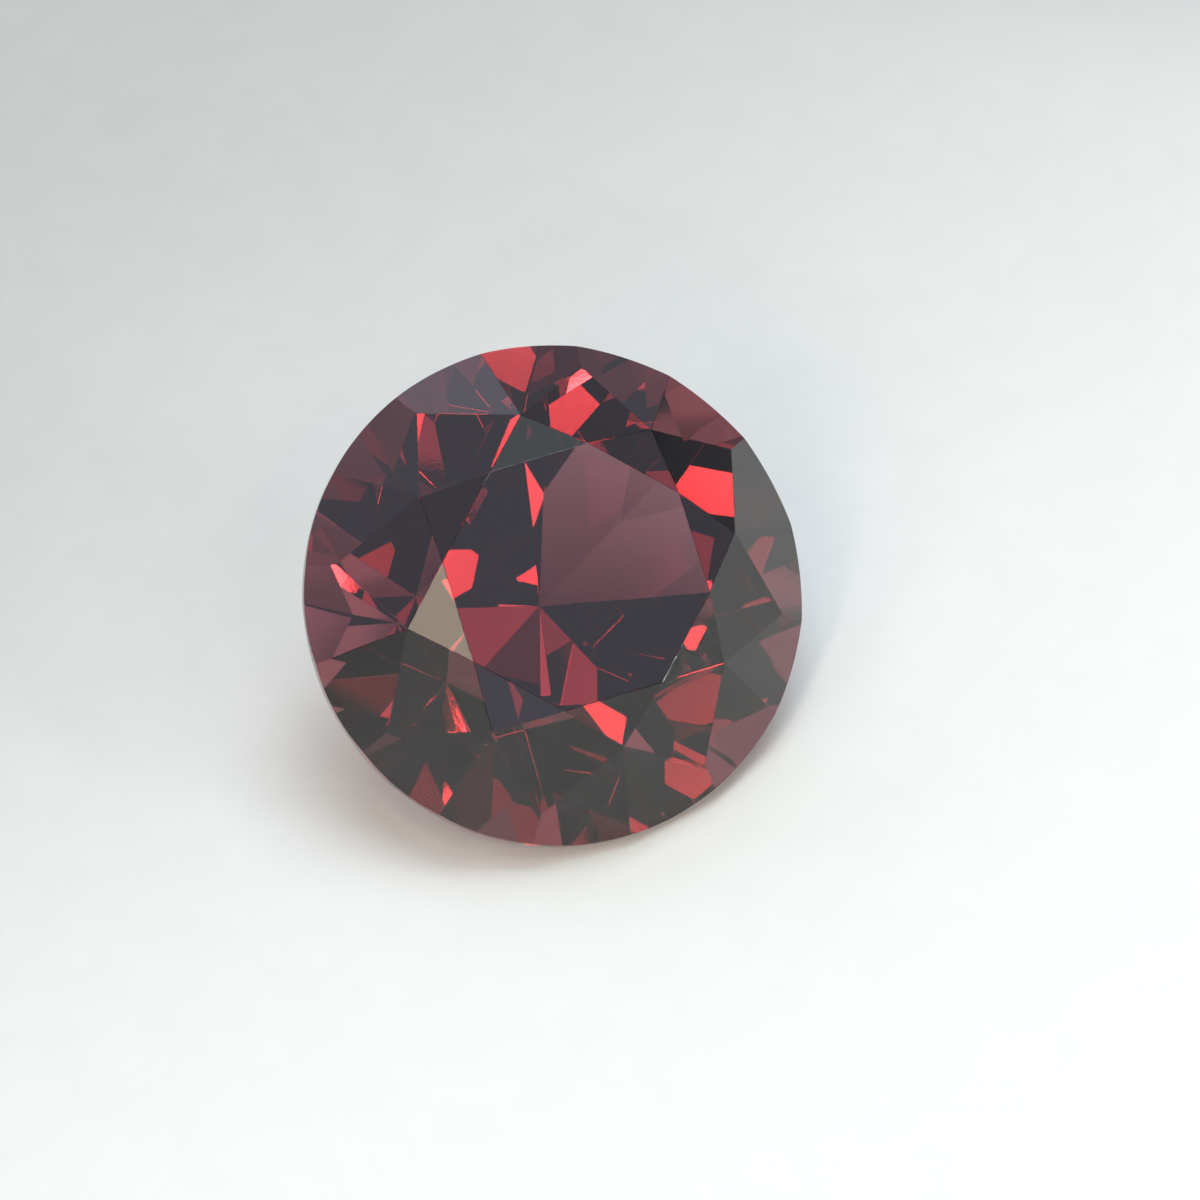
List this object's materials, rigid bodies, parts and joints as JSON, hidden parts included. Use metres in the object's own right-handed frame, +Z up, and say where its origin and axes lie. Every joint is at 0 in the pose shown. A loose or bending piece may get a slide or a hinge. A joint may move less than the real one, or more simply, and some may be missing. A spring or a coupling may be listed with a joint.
{
  "type": "faceted tourmaline gemstone",
  "caption": "Loose round brilliant cut gemstone of clear, deep purplish red tourmaline, lying on a pavilion facet with its table facing up and forward.",
  "frame": {"origin": "on the surface the stone lies on, under the middle of the stone's box", "axes": "+X across the stone along its widest girdle diameter, +Z up out of the pavilion facet it lies on, -Y the side that the tilted table looks towards"},
  "size_m": [0.007, 0.0054, 0.0052],
  "materials": {
    "tourmaline": "clear deep purplish red crystal with polished flat facets"
  },
  "bodies": {
    "root": {"tourmaline_stone": "tourmaline"}
  },
  "joints": []
}
